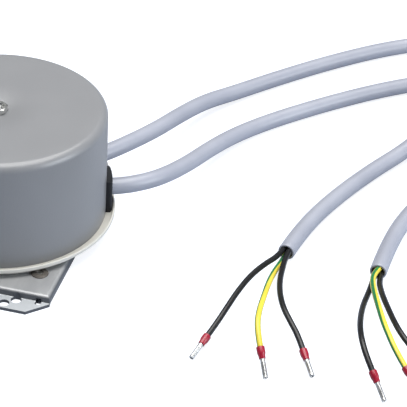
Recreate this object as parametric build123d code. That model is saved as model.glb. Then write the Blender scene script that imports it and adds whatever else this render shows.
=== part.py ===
"""Roller shutter motor: a geared reversible synchronous motor in a deep-drawn can on a zinc bracket.

Millimetres, +Z up along the motor axis.  The origin is on the motor axis, in the plane of the
bracket's two tabs, which is the plane that the motor stands and is screwed down on.  X and Y run
along the bracket's edges.  Each piece is built where it sits and written to its own STEP file.
"""
import math
import os

from build123d import *

# ---------------------------------------------------------------- driving dimensions
# Bracket: a shallow pan of zinc-plated sheet with a joggled tab at each end, cut back at the rear
sheet = 1.5
bend_radius = 0.5
bracket_width = 83.0
plate_length = 109.0
tab_length = 8.5
tab_chamfer = 8.0
rear_cut_width, rear_cut_length = 7.5, 16.5
lip_underside = 1.0
tab_hole_radius = 2.3
outer_hole_from_side, outer_hole_from_plate = 18.3, 5.3
inner_hole_from_side, inner_hole_from_plate = 14.1, 1.8
relief_width, relief_from_side = 2.4, 4.8
rivet_from_side, rivet_from_end = 9.3, 15.1
rivet_shank_radius, rivet_head_radius, rivet_foot_radius = 2.2, 3.8, 3.4
rivet_bore_radius = 1.3
rivet_head_height, rivet_foot_height = 0.7, 0.8
bearing_plate_side_gap, bearing_plate_end_gap = 1.0, 4.0

# Gear base: the ivory moulding whose rim stands out and up round the can
floor_thickness = 2.5
foot_setback = 2.5
rim_reach = 4.1
rim_thickness = 1.2
rim_lip_width, rim_lip_height = 1.0, 2.0
rim_bevel, rim_edge = 1.7, 0.4
spigot_height = 7.0
spigot_wall = 2.0
spigot_gap = 1.5
post_radius = 3.3
post_angles = (0, 100, 200, 290)

# Can: deep-drawn cap held by one nut, which sits in a shallow dish
can_radius = 47.5
can_wall = 1.2
can_corner = 3.8
can_spigot_clearance = 0.3
dish_radius, dish_depth = 19.0, 1.8
nut_seat_gap = 0.4
stud_radius = 2.5
stud_depth = 2.2
stud_above_nut = 0.4
stud_hole_clearance = 0.2
nut_across_flats, nut_height, nut_chamfer = 8.0, 2.5, 0.25
nut_turn = 28.0

# Screws
screw_radius = 1.5
screw_head_radius = 2.8
screw_hole_clearance = 0.2
base_screw_head, tie_screw_head = 1.3, 2.0
base_screw_in_post, screw_tip_gap = 4.0, 1.5
screw_head_lift = 0.2
screw_recess = 0.6
recess_length, recess_width = 3.0, 0.7

# Gears: three equal reductions of 4 to 1
pinion_teeth, wheel_teeth = 12, 48
fast_module, slow_module = 0.6, 0.75
pressure_angle = 20.0
tooth_thinning = 0.12
pinion_addendum, pinion_dedendum = 0.9, 1.3
wheel_addendum, wheel_dedendum = 0.8, 1.25
flank_points = 4
idler_a_direction = 181.0
output_face, fast_face, middle_face = 5.0, 2.5, 3.0
output_gear_gap, level_gap, fast_level_gap, plate_gap = 1.0, 1.2, 0.8, 1.0
tooth_overrun = 0.3
pinion_floor_gap = 0.4
idler_hub_radius = 3.2
wheel_hole_count = 6
pin_radius = 1.5
pin_depth = 2.0
pin_head_radius, pin_head_height = 2.6, 0.5
pin_head_lift, pin_head_gap = 0.3, 0.2
running = 0.03

# Output hub: keyed bore for the shutter's shaft
hub_radius = 9.0
output_bore_radius = 6.0
output_bore_length = 12.0
key_width, key_depth = 4.0, 1.8
hub_lift = 0.3
bush_wall = 3.0
bush_flange, bush_flange_thickness = 2.0, 0.7
clip_lift, clip_thickness, clip_play = 0.3, 0.7, 0.05
clip_depth, clip_reach = 0.8, 1.6
clip_opening = 5.0

# Motor
gear_plate_thickness = 2.0
gear_plate_clearance = 3.3
post_from_plate_edge = 7.5
tie_screw_gap = 2.0
shaft_radius = 2.0
shaft_end_gap = 0.3
bearing_radius = 5.0
rotor_radius = 18.2
rotor_hub_radius = 8.5
rotor_end_gap, rotor_boss_length, rotor_boss_wall = 2.0, 1.0, 2.0
air_gap = 0.4
stator_height = 23.4
pole_sheet = 1.2
claw_count, claw_half_span, claw_end_gap = 6, 11.0, 0.4
bobbin_flange = 0.8
bobbin_wall = 1.0
bobbin_clearance = 0.3
winding_setback = 0.8
shield_edge = 3.5
end_shield_thickness = 1.5
bearing_dome_radius, bearing_dome_height = 8.0, 6.5
upper_bearing_length = 4.5

# Grommets and cables: two cables with three cores of 1 square millimetre each
cable_radius = 3.75
cable_height = 16.2
cable_angles = {"a": 49.0, "b": 20.0}
cable_inside = 6.5
grommet_half_span = 8.0
notch_half_span = 5.8
grommet_height, notch_height = 15.8, 14.4
grommet_proud = 2.7
grommet_lip = 1.7
core_radius = 1.25
inner_core_radius, inner_core_circle = 0.9, 1.38
collar_radius, collar_length, taper_end_radius = 1.75, 5.2, 1.3
sleeve_radius, sleeve_length = 1.05, 8.0
terminal_width, terminal_depth, terminal_height = 26.0, 9.0, 12.0
terminal_setback = 14.5
terminal_count = 5
terminal_groove_width, terminal_groove_depth, terminal_groove_margin = 0.8, 1.0, 1.0
terminal_screw_radius, terminal_screw_height = 1.5, 0.9
slot_width, slot_depth = 0.5, 0.4

# How far a cutting solid runs past the face that it cuts
past = 1.0

# Places in plan that follow from the sizes above
half_width, half_plate = bracket_width / 2, plate_length / 2
can_inside = can_radius - can_wall
spigot_radius = can_inside - can_spigot_clearance
gear_plate_radius = can_inside - gear_plate_clearance
post_circle = gear_plate_radius - post_from_plate_edge
stator_radius = post_circle - screw_radius - tie_screw_gap
end_shield_radius = post_circle + shield_edge
pole_radius = rotor_radius + air_gap
bobbin_inner = pole_radius + pole_sheet + bobbin_clearance
bobbin_outer = stator_radius - pole_sheet - bobbin_clearance
bush_radius = hub_radius + bush_wall
clip_inner_radius = hub_radius - clip_depth
nut_corner = nut_across_flats / math.sqrt(3)
cable_inner_end = can_radius - cable_inside
cables_middle = (cable_angles["a"] + cable_angles["b"]) / 2
cables_half_angle = abs(cable_angles["a"] - cable_angles["b"]) / 2
terminal_face = can_radius - terminal_setback
terminal_middle = terminal_face - terminal_depth / 2
terminal_pitch = terminal_width / terminal_count

# Heights that follow from the sizes above
under_plate = screw_head_lift + base_screw_head
plate_rise = under_plate + sheet
plate_top = plate_rise + sheet
floor_top = plate_top + floor_thickness
can_bottom = floor_top
output_gear_bottom = floor_top + output_gear_gap
output_gear_top = output_gear_bottom + output_face
pin_head_bottom = output_gear_top + pin_head_lift
pin_head_top = pin_head_bottom + pin_head_height
middle_bottom = output_gear_top + level_gap
middle_top = middle_bottom + middle_face
fast_bottom = middle_top + fast_level_gap
fast_top = fast_bottom + fast_face
gear_plate_bottom = fast_top + plate_gap
stator_bottom = gear_plate_bottom + gear_plate_thickness
stator_middle = stator_bottom + stator_height / 2
stator_top = stator_bottom + stator_height
bobbin_bottom = stator_bottom + pole_sheet
bobbin_top = stator_middle - pole_sheet
rotor_bottom, rotor_top = stator_bottom + rotor_end_gap, stator_top - rotor_end_gap
shield_top = stator_top + end_shield_thickness
dome_top = shield_top + bearing_dome_height
nut_bottom = dome_top + can_wall
can_top = nut_bottom + dish_depth
nut_top = nut_bottom + nut_height
stud_bottom, stud_top = dome_top - stud_depth, nut_top + stud_above_nut

base_screw_tip = floor_top + base_screw_in_post
tie_screw_tip = base_screw_tip + screw_tip_gap

# Axes of the gears, seen from above.  The output is coaxial with the motor.
fast_centres = fast_module * (pinion_teeth + wheel_teeth) / 2
slow_centres = slow_module * (pinion_teeth + wheel_teeth) / 2
idler_b_direction = idler_a_direction + math.degrees(math.acos(fast_centres / (2 * slow_centres)))


def polar(radius, degrees):
    """The x and y of a point at this radius and direction from the motor axis."""
    angle = math.radians(degrees)
    return radius * math.cos(angle), radius * math.sin(angle)


axis_a = polar(fast_centres, idler_a_direction)
axis_b = polar(slow_centres, idler_b_direction)
a_to_b = math.degrees(math.atan2(axis_b[1] - axis_a[1], axis_b[0] - axis_a[0]))
posts = [polar(post_circle, angle) for angle in post_angles]
on_base = (Align.CENTER, Align.CENTER, Align.MIN)


def mirrored(x, y):
    """The four places at plus and minus x and plus and minus y."""
    return [(across * x, along * y) for across in (-1, 1) for along in (-1, 1)]


rivets = mirrored(half_width - rivet_from_side, half_plate - rivet_from_end)
outer_holes = mirrored(half_width - outer_hole_from_side, half_plate + outer_hole_from_plate)
inner_holes = mirrored(half_width - inner_hole_from_side, half_plate + inner_hole_from_plate)


# ---------------------------------------------------------------- shapes used by several pieces
def rod(radius, bottom, top, at=(0, 0)):
    """A solid round bar standing between two heights."""
    return Pos(at[0], at[1], bottom) * Cylinder(radius, top - bottom, align=on_base)


def ring(outer, inner, bottom, top, at=(0, 0)):
    """A round tube standing between two heights."""
    return rod(outer, bottom, top, at) - rod(inner, bottom - past, top + past, at)


def block(x, y, bottom, top, at=(0, 0)):
    """A rectangular block, x by y, standing between two heights."""
    return Pos(at[0], at[1], bottom) * Box(x, y, top - bottom, align=on_base)


def sector(outer, inner, middle, half_span, bottom, top):
    """A piece of tube wall that covers half_span degrees each side of the direction middle."""
    first, last = middle - half_span, middle + half_span
    edges = [
        Line(polar(inner, first), polar(outer, first)),
        ThreePointArc(polar(outer, first), polar(outer, middle), polar(outer, last)),
        Line(polar(outer, last), polar(inner, last)),
        ThreePointArc(polar(inner, last), polar(inner, middle), polar(inner, first)),
    ]
    return Pos(0, 0, bottom) * extrude(make_face(Wire(edges)), top - bottom)


def drilled(solid, radius, *places):
    """The solid with a vertical hole right through it at each place."""
    for place in places:
        solid -= rod(radius, -past, can_top, place)
    return solid


def top_edges(solid):
    """The edges at the solid's highest level."""
    return solid.edges().group_by(Axis.Z)[-1]


def gear(teeth, module, addendum, dedendum, bottom, top, at, first_tooth):
    """A spur gear with involute flanks; first_tooth is the direction of one tooth's middle."""
    pitch = module * teeth / 2
    base = pitch * math.cos(math.radians(pressure_angle))
    tip, root = pitch + addendum * module, pitch - dedendum * module

    def involute(angle):
        return math.tan(angle) - angle

    half_tooth = math.pi / (2 * teeth) - tooth_thinning / (2 * pitch)
    half_at_base = half_tooth + involute(math.radians(pressure_angle))
    start = max(base, root)
    flank = [(root, half_at_base)] if root < base else []
    for step in range(flank_points):
        radius = start + (tip - start) * step / (flank_points - 1)
        flank.append((radius, half_at_base - involute(math.acos(min(1.0, base / radius)))))
    tooth = [(radius, -half) for radius, half in flank]
    tooth += [(radius, half) for radius, half in reversed(flank)]
    outline = []
    for turn in range(teeth):
        middle = first_tooth + 360 * turn / teeth
        outline += [polar(radius, middle + math.degrees(offset)) for radius, offset in tooth]
    face = make_face(Polyline(*outline, close=True))
    return Pos(at[0], at[1], bottom) * extrude(face, top - bottom)


def pinion(module, bottom, top, at, toward):
    """A twelve-tooth pinion with one tooth pointing toward its wheel."""
    return gear(pinion_teeth, module, pinion_addendum, pinion_dedendum, bottom, top, at, toward)


def wheel(module, bottom, top, at, toward):
    """A wheel with the gap between two teeth pointing toward its pinion."""
    first_tooth = toward + 180 / wheel_teeth
    return gear(wheel_teeth, module, wheel_addendum, wheel_dedendum, bottom, top, at, first_tooth)


def screw(at, head_bottom, head_height, reach, head_up):
    """A pan-head screw with a cross recess; reach is how far its shank goes past the head."""
    head_top = head_bottom + head_height
    body = rod(screw_head_radius, head_bottom, head_top, at)
    if head_up:
        body += rod(screw_radius, head_bottom - reach, head_bottom, at)
        recess_bottom, recess_top = head_top - screw_recess, head_top + past
    else:
        body += rod(screw_radius, head_top, head_top + reach, at)
        recess_bottom, recess_top = head_bottom - past, head_bottom + screw_recess
    for x, y in ((recess_length, recess_width), (recess_width, recess_length)):
        body -= block(x, y, recess_bottom, recess_top, at)
    return body


# ---------------------------------------------------------------- bracket
def plate_holes(solid):
    """The solid with the holes that both sheets share: bush, screws and rivets."""
    solid = drilled(solid, bush_radius, (0, 0))
    solid = drilled(solid, screw_radius + screw_hole_clearance, *posts)
    return drilled(solid, rivet_shank_radius, *rivets)


def mounting_bracket():
    """The pan: raised plate, two side lips, two joggle walls and two tabs with chamfered corners."""
    body = block(bracket_width, plate_length, plate_rise, plate_top)
    tab_widths = {-1: bracket_width, 1: bracket_width - 2 * rear_cut_width}
    tabs = []
    for side in (-1, 1):
        lip_x = side * (half_width - sheet / 2)
        body += block(sheet, plate_length, lip_underside, plate_rise, (lip_x, 0))
        wall_y = side * (half_plate - sheet / 2)
        body += block(bracket_width, sheet, 0, plate_rise, (0, wall_y))
        tab_y = side * (half_plate + tab_length / 2)
        tab = block(tab_widths[side], tab_length, 0, sheet, (0, tab_y))
        corners = tab.edges().filter_by(Axis.Z).sort_by(Axis.Y)
        outside = corners[-2:] if side > 0 else corners[:2]
        tabs.append(chamfer(outside, tab_chamfer))
    body = without_rear_corners(fillet(top_edges(body), sheet + bend_radius), 0)
    for tab in tabs:
        body += tab
    for side in (-1, 1):
        body = bent(body, side * half_plate, sheet, bend_radius)
        body = bent(body, side * (half_plate - sheet), plate_rise, bend_radius)
        body = bent(body, side * (half_plate - sheet), 0, sheet + bend_radius)
    for side in (-1, 1):
        relief = side * (half_width - relief_from_side), -half_plate
        body -= block(relief_width, 3 * sheet, -past, plate_rise, relief)
    return plate_holes(drilled(body, tab_hole_radius, *outer_holes, *inner_holes))


def without_rear_corners(body, inset):
    """The body with its two rear corners cut off along slanted lines, which stand inset further in."""
    start = half_width - inset, half_plate - rear_cut_length
    end = half_width - rear_cut_width - inset, half_plate
    outside, behind = half_width + past, half_plate + past
    outline = Polyline(start, end, (end[0], behind), (outside, behind), (outside, start[1]), close=True)
    corner = Pos(0, 0, -past) * extrude(make_face(outline), plate_top + 2 * past)
    return body - corner - mirror(corner, about=Plane.YZ)


def bent(body, y, z, radius):
    """The body with the bend line that runs along X at this y and z rounded."""
    lines = body.edges().filter_by(Axis.X)
    middle = [edge for edge in lines if abs(edge.center().Y - y) + abs(edge.center().Z - z) < 0.01]
    return fillet(middle, radius)


def bearing_plate():
    """A second sheet inside the pan that doubles the metal round the output bush."""
    x = bracket_width - 2 * (sheet + bearing_plate_side_gap)
    y = plate_length - 2 * (sheet + bearing_plate_end_gap)
    body = without_rear_corners(block(x, y, under_plate, plate_rise), sheet + bearing_plate_side_gap)
    return plate_holes(body)


def bracket_rivet(at):
    """A tubular rivet through both sheets."""
    body = rod(rivet_shank_radius, under_plate, plate_top, at)
    body += rod(rivet_head_radius, plate_top, plate_top + rivet_head_height, at)
    body += rod(rivet_foot_radius, under_plate - rivet_foot_height, under_plate, at)
    return drilled(body, rivet_bore_radius, at)


# ---------------------------------------------------------------- gear base
def gear_base():
    """Floor, rim with a raised lip, locating spigot with a gap for the grommets, and four posts."""
    spigot_top = floor_top + spigot_height
    spigot_inside = spigot_radius - spigot_wall
    body = rod(can_radius - foot_setback, plate_top, floor_top)
    body += rim()
    body += ring(spigot_radius, spigot_inside, floor_top, spigot_top)
    half_gap = cables_half_angle + grommet_half_span + spigot_gap
    outer, inner = spigot_radius + past, spigot_inside - past
    body -= sector(outer, inner, cables_middle, half_gap, floor_top, spigot_top + past)
    for post in posts:
        body += rod(post_radius, floor_top, gear_plate_bottom, post)
    body = drilled(body, screw_radius, *posts)
    body = drilled(body, bush_radius, (0, 0))
    return body - rod(pin_radius, floor_top - pin_depth, floor_top + past, axis_b)


def rim():
    """The ring that the can stands in: thin floor, bevelled underneath, and a lip with soft edges."""
    outside, lip_top = can_radius + rim_reach, floor_top + rim_lip_height
    body = rod(outside, floor_top - rim_thickness, lip_top)
    body = chamfer(body.edges().filter_by(GeomType.CIRCLE).sort_by(Axis.Z)[0], rim_bevel)
    body -= rod(outside - rim_lip_width, floor_top, lip_top + past)
    return fillet(top_edges(body), rim_edge)


def output_bush():
    """Flanged sintered bush, pressed into the base and both sheets."""
    bore = hub_radius + running
    flange_top = floor_top + bush_flange_thickness
    body = ring(bush_radius, bore, under_plate, floor_top)
    return body + ring(bush_radius + bush_flange, bore, floor_top, flange_top)


# ---------------------------------------------------------------- output
def output_hub():
    """The hub that the output gear is pressed on, with a keyed blind bore and a clip groove."""
    bore_top = hub_lift + output_bore_length
    groove_bottom = hub_lift + clip_lift - clip_play
    groove_top = hub_lift + clip_lift + clip_thickness + clip_play
    body = rod(hub_radius, hub_lift, output_gear_top + pinion_floor_gap)
    body -= rod(output_bore_radius, hub_lift - past, bore_top)
    keyway = output_bore_radius + key_depth
    body -= block(keyway, key_width, hub_lift - past, bore_top, (keyway / 2, 0))
    return body - ring(hub_radius + past, clip_inner_radius, groove_bottom, groove_top)


def output_circlip():
    """The ring in the hub's groove, open on one side, that keeps the hub in its bush."""
    bottom = hub_lift + clip_lift
    top = bottom + clip_thickness
    body = ring(hub_radius + clip_reach, clip_inner_radius, bottom, top)
    across = 2 * (clip_reach + clip_depth)
    return body - block(across, clip_opening, 0, top + past, (-hub_radius, 0))


def output_gear():
    """The last wheel, pressed on the output hub."""
    body = wheel(slow_module, output_gear_bottom, output_gear_top, (0, 0), idler_b_direction)
    return drilled(body, hub_radius, (0, 0))


# ---------------------------------------------------------------- idlers
def idler_pinion(bottom, teeth_top, top, at, toward):
    """A pinion with a plain hub above its teeth, bored to run on a pin."""
    body = pinion(slow_module, bottom, teeth_top, at, toward)
    body += rod(idler_hub_radius, teeth_top, top, at)
    return drilled(body, pin_radius + running, at)


def idler_wheel(module, bottom, top, at, toward):
    """A wheel pressed on its pinion's hub, with lightening holes half way out."""
    body = drilled(wheel(module, bottom, top, at, toward), idler_hub_radius, at)
    web = module * wheel_teeth / 2 - idler_hub_radius
    circle = idler_hub_radius + web / 2
    for turn in range(wheel_hole_count):
        x, y = polar(circle, 360 * turn / wheel_hole_count)
        body = drilled(body, web / 4, (at[0] + x, at[1] + y))
    return body


def first_pinion():
    """The first idler's pinion, between its pin's head and the gear plate."""
    bottom = pin_head_top + pin_head_gap
    return idler_pinion(bottom, middle_top + tooth_overrun, fast_top + tooth_overrun, axis_a, a_to_b)


def second_pinion():
    """The second idler's pinion, which drives the output gear."""
    bottom, teeth_top = floor_top + pinion_floor_gap, output_gear_top + tooth_overrun
    top = middle_top + tooth_overrun
    return idler_pinion(bottom, teeth_top, top, axis_b, idler_b_direction + 180)


def idler_pin_a():
    """A pin riveted into the gear plate, with a head that keeps the first idler on."""
    body = rod(pin_radius, pin_head_bottom, stator_bottom, axis_a)
    return body + rod(pin_head_radius, pin_head_bottom, pin_head_top, axis_a)


def idler_pin_b():
    """A plain pin held at the bottom in the base and at the top in the gear plate."""
    return rod(pin_radius, floor_top - pin_depth, stator_bottom, axis_b)


# ---------------------------------------------------------------- motor
def gear_plate():
    """The steel plate between the gears and the motor."""
    body = rod(gear_plate_radius, gear_plate_bottom, stator_bottom)
    body = drilled(body, screw_radius + screw_hole_clearance, *posts)
    body = drilled(body, bearing_radius, (0, 0))
    return drilled(body, pin_radius, axis_a, axis_b)


def lower_bearing():
    """Flanged bush of the rotor shaft in the gear plate."""
    bore = shaft_radius + running
    flange_top = stator_bottom + bush_flange_thickness
    body = ring(bearing_radius, bore, gear_plate_bottom, stator_bottom)
    return body + ring(bearing_radius + bush_flange, bore, stator_bottom, flange_top)


def upper_bearing():
    """Plain bush of the rotor shaft in the end shield's dome."""
    top = stator_top + upper_bearing_length
    return ring(bearing_radius, shaft_radius + running, stator_top, top)


def motor_pinion():
    """The pinion pressed on the rotor shaft's lower end."""
    bottom, top = fast_bottom - tooth_overrun, fast_top + tooth_overrun
    body = pinion(fast_module, bottom, top, (0, 0), idler_a_direction)
    return drilled(body, shaft_radius, (0, 0))


def rotor_shaft():
    """The shaft, from the pinion's lower face to just under the dome's end."""
    top = stator_top + upper_bearing_length - shaft_end_gap
    return rod(shaft_radius, fast_bottom - tooth_overrun, top)


def rotor_hub():
    """The hub between the shaft and the magnet, with a short boss at each end."""
    body = ring(rotor_hub_radius, shaft_radius, rotor_bottom, rotor_top)
    bottom, top = rotor_bottom - rotor_boss_length, rotor_top + rotor_boss_length
    return body + ring(shaft_radius + rotor_boss_wall, shaft_radius, bottom, top)


def with_claws(body, bottom, top, first):
    """The body with its pole fingers round the rotor."""
    for turn in range(claw_count):
        middle = first + turn * 360 / claw_count
        body += sector(pole_radius + pole_sheet, pole_radius, middle, claw_half_span, bottom, top)
    return body


def pole_cup():
    """The lower outer half of one coil unit: floor, side wall and fingers that point up."""
    body = ring(stator_radius, pole_radius, stator_bottom, bobbin_bottom)
    body += ring(stator_radius, stator_radius - pole_sheet, stator_bottom, stator_middle)
    return with_claws(body, bobbin_bottom, bobbin_top - claw_end_gap, 0)


def pole_plate():
    """The cover of one coil unit, with fingers that point down between those of the cup."""
    body = ring(stator_radius - pole_sheet, pole_radius, bobbin_top, stator_middle)
    return with_claws(body, bobbin_bottom + claw_end_gap, bobbin_top, 180 / claw_count)


def bobbin():
    """The spool of one coil."""
    body = ring(bobbin_outer, bobbin_inner, bobbin_bottom, bobbin_top)
    core = bobbin_inner + bobbin_wall
    bottom, top = bobbin_bottom + bobbin_flange, bobbin_top - bobbin_flange
    return body - ring(bobbin_outer + past, core, bottom, top)


def winding():
    """The wound wire of one coil, as one solid."""
    core = bobbin_inner + bobbin_wall
    bottom, top = bobbin_bottom + bobbin_flange, bobbin_top - bobbin_flange
    return ring(bobbin_outer - winding_setback, core, bottom, top)


def upper(solid):
    """The same piece of the upper coil unit: the lower one turned over about the stator's middle."""
    return mirror(solid, about=Plane.XY.offset(stator_middle))


def end_shield():
    """The top plate of the motor, with a dome round the upper bearing."""
    body = rod(end_shield_radius, stator_top, shield_top)
    body = drilled(body, screw_radius + screw_hole_clearance, *posts)
    body += rod(bearing_dome_radius, stator_top, dome_top)
    body -= rod(bearing_radius, stator_top - past, stator_top + upper_bearing_length)
    return body - rod(stud_radius, stud_bottom, dome_top + past)


# ---------------------------------------------------------------- can and its fixing
def can_face(radius, top, corner):
    """One face of the can's top as edges: round corner, flat ring, dish and the nut's seat."""
    middle = math.cos(math.pi / 4) * corner
    seat, hole = nut_corner + nut_seat_gap, stud_radius + stud_hole_clearance
    side_end = (radius, 0, top - corner)
    halfway = (radius - corner + middle, 0, top - corner + middle)
    flat_start = (radius - corner, 0, top)
    dish_start = (dish_radius, 0, top)
    seat_start = (seat, 0, top - dish_depth)
    return [
        ThreePointArc(side_end, halfway, flat_start),
        Line(flat_start, dish_start),
        TangentArc(dish_start, seat_start, tangent=(-1, 0, 0)),
        Line(seat_start, (hole, 0, top - dish_depth)),
    ]


def can():
    """The deep-drawn cap: round top edge, dished middle, stud hole and two notches for the grommets."""
    corner_bottom, hole = can_top - can_corner, stud_radius + stud_hole_clearance
    edges = can_face(can_radius, can_top, can_corner)
    edges += can_face(can_inside, can_top - can_wall, can_corner - can_wall)
    edges += [
        Line((hole, 0, nut_bottom), (hole, 0, dome_top)),
        Line((can_radius, 0, can_bottom), (can_radius, 0, corner_bottom)),
        Line((can_inside, 0, can_bottom), (can_inside, 0, corner_bottom)),
        Line((can_inside, 0, can_bottom), (can_radius, 0, can_bottom)),
    ]
    body = revolve(make_face(Wire(edges)), axis=Axis.Z)
    outer, inner = can_radius + past, can_inside - past
    notch_top = can_bottom + notch_height
    for angle in cable_angles.values():
        body -= sector(outer, inner, angle, notch_half_span, can_bottom - past, notch_top)
    return body


def can_nut():
    """Thin hexagon nut with its top corners chamfered."""
    hexagon = Rot(0, 0, nut_turn) * RegularPolygon(nut_corner, 6)
    body = Pos(0, 0, nut_bottom) * extrude(hexagon, nut_height)
    cone = Cone(nut_corner + nut_height, nut_corner - nut_chamfer, nut_height, align=on_base)
    return (body & Pos(0, 0, nut_bottom) * cone) - rod(stud_radius, 0, nut_top + past)


# ---------------------------------------------------------------- grommets and terminals
def grommet(angle):
    """Black rubber block in one of the can's notches: outer lip, waist, inner lip and cable hole."""
    top, notch_top = can_bottom + grommet_height, can_bottom + notch_height
    outside, inside = can_radius + grommet_proud, can_inside - grommet_lip
    lip = sector(outside, can_radius, angle, grommet_half_span, can_bottom, top)
    short_edges = lip.edges().filter_by(lambda edge: edge.length < grommet_proud + 0.01)
    lip = fillet(short_edges.group_by(Axis.Z)[-1], grommet_proud)
    waist = sector(can_radius, can_inside, angle, notch_half_span, can_bottom, notch_top)
    inner_lip = sector(can_inside, inside, angle, grommet_half_span, can_bottom, top)
    hole = Cylinder(cable_radius, outside + past, align=on_base)
    return lip + waist + inner_lip - Pos(0, 0, cable_height) * Rot(0, 0, angle) * Rot(0, 90, 0) * hole


def terminal_block():
    """Moulded block on the base's floor where the cables' cores meet the coil leads."""
    top = floor_top + terminal_height
    body = block(terminal_depth, terminal_width, floor_top, top, (terminal_middle, 0))
    for gap in range(1, terminal_count):
        y = gap * terminal_pitch - terminal_width / 2
        length = terminal_depth - 2 * terminal_groove_margin
        bottom = top - terminal_groove_depth
        body -= block(length, terminal_groove_width, bottom, top + past, (terminal_middle, y))
    return Rot(0, 0, cables_middle) * body


def terminal_screws():
    """Slotted clamp screws on top of the terminal block."""
    bottom = floor_top + terminal_height
    top = bottom + terminal_screw_height
    group = []
    for place in range(terminal_count):
        at = (terminal_middle, (place + 0.5) * terminal_pitch - terminal_width / 2)
        head = rod(terminal_screw_radius, bottom, top, at)
        head -= block(4 * terminal_screw_radius, slot_width, top - slot_depth, top + past, at)
        group.append(Rot(0, 0, cables_middle) * head)
    return group


def inner_cores(terminal):
    """The three cores of each cable between the jacket's inner end and the terminal block."""
    group = []
    core = Cylinder(inner_core_radius, cable_inner_end - terminal_face, align=on_base)
    for angle in cable_angles.values():
        for turn in (30, 150, 270):
            y, z = polar(inner_core_circle, turn)
            lying = Pos(terminal_face, y, cable_height + z) * Rot(0, 90, 0) * core
            group.append(Rot(0, 0, angle) * lying - terminal)
    return group


# ---------------------------------------------------------------- cords
# Where each cable and core lies, chosen by hand.  A cable starts inside the grommet, comes down to
# the table and lies on it in a loop; cable a passes over cable b once, in a long low hump.
cable_routes = {
    "a": [
        (*polar(cable_inner_end, cable_angles["a"]), cable_height),
        (*polar(54.9, cable_angles["a"]), cable_height),
        (45, 57, 15.4), (52.5, 75, 13.3), (58.2, 95.5, 10.2), (65, 115.6, 6.9), (75.5, 132.2, 4.4),
        (91, 152.4, 3.75), (112, 176, 3.75), (136, 199.2, 3.75), (157.7, 214.5, 3.75),
        (180.8, 213, 4.4), (198.5, 197.2, 10.4), (202.5, 174.3, 17.6), (189.6, 151.4, 17.6),
        (176.6, 127.5, 10.4), (164.6, 106.6, 4.9), (151.9, 84.9, 3.75), (139.4, 56, 3.75),
        (131.2, 29.3, 3.75), (128.4, 9.9, 3.75),
    ],
    "b": [
        (*polar(cable_inner_end, cable_angles["b"]), cable_height),
        (*polar(52.5, cable_angles["b"]), cable_height),
        (59, 25.2, 15.9), (66.2, 35, 14.8), (72.5, 53, 11.4), (77.5, 73, 7.9), (84, 91.6, 5.1),
        (93.5, 107.9, 3.8), (107, 123.8, 3.75), (125, 142.6, 3.75), (144, 160.2, 3.75),
        (163, 174.5, 3.75), (183.8, 175.2, 3.75), (200.9, 163.2, 3.75), (206.6, 143.3, 3.75),
        (197.6, 116.4, 3.75), (185.4, 87.9, 3.75), (174.8, 56.8, 3.75), (170.2, 32, 3.75),
        (169.4, 8.2, 3.75),
    ],
}
core_routes = {
    "a1": [
        (127.05, 10.1, 5), (126, 3, 5.7), (122.3, -5.5, 6.8), (118.6, -17, 7.8), (116.1, -30, 8.2),
        (114.2, -42, 7.4), (112.3, -51, 5.6), (110.3, -58.4, 4),
    ],
    "a2": [
        (128.4, 9.9, 2.3), (127.7, 3.5, 2.6), (127.2, -8, 5.8), (127.6, -22.5, 10.2), (128.5, -37, 13),
        (129.1, -49, 14.2), (130.7, -58.8, 13.2), (133.7, -64.6, 8.7),
    ],
    "a3": [
        (129.75, 9.7, 5), (129.4, 3.5, 5.3), (129.9, -4, 6), (131, -15.5, 7.4), (133.4, -27, 9),
        (137, -37, 9.6), (141.9, -44.5, 8.6), (146.3, -49.8, 6.6), (149.9, -56, 4.6),
    ],
    "b1": [
        (168.05, 8.3, 3), (168.3, 2, 3), (168.2, -7, 3.6), (167.9, -20, 6), (169, -34, 10),
        (170.8, -46, 13.2), (173.2, -55, 14.2), (176.4, -61, 11.6), (179.9, -65.2, 8.2),
    ],
    "b2": [
        (169.4, 8.2, 5.3), (168.4, 2.5, 6.4), (168.9, -5, 8), (171.6, -15.5, 9.9), (175.3, -27, 11.6),
        (179, -37.5, 12.4), (182.9, -45.6, 12), (187, -51.9, 9.9), (192, -57, 6.8),
    ],
    "b3": [
        (170.75, 8.1, 3), (171.2, 2, 3.4), (172.4, -4, 5), (175.2, -14, 7.6), (179.4, -25.5, 10),
        (183.3, -35.5, 11.9), (187, -42.5, 12.3), (191.3, -47.1, 11.1), (197.1, -50.9, 7.4),
    ],
}


def corner_radii(points):
    """For each corner, 0.45 of its shorter run divided by the tangent of half its turn."""
    radii = []
    for before, corner, after in zip(points, points[1:], points[2:]):
        into, out = Vector(*corner) - Vector(*before), Vector(*after) - Vector(*corner)
        half_turn = math.radians(into.get_angle(out)) / 2
        radii.append(0.45 * min(into.length, out.length) / math.tan(half_turn))
    return radii


def cord(name, points, radius):
    """A round cord along straight runs joined by tangent arcs."""
    radii = corner_radii(points)
    path = FilletPolyline(*points, radius=radii)
    start = Plane(origin=path @ 0, z_dir=path % 0)
    tube = sweep(start * Circle(radius), path=path)
    expected = math.pi * radius**2 * path.length
    print(f"{name}: length {path.length:.1f}, volume {tube.volume / expected:.4f} of section x length")
    print("  radii " + " ".join(f"{value:.0f}" for value in radii))
    return tube


def ferrule(points):
    """A crimped ferrule on a core's end: tapered collar, then the sleeve."""
    before, end = Vector(*points[-2]), Vector(*points[-1])
    along = Plane(origin=end, z_dir=end - before)
    straight = collar_length / 2
    collar = Cylinder(collar_radius, straight, align=on_base)
    taper = Pos(0, 0, straight) * Cone(collar_radius, taper_end_radius, straight, align=on_base)
    sleeve = Pos(0, 0, collar_length) * Cylinder(sleeve_radius, sleeve_length, align=on_base)
    return along * (collar + taper + sleeve)


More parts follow.
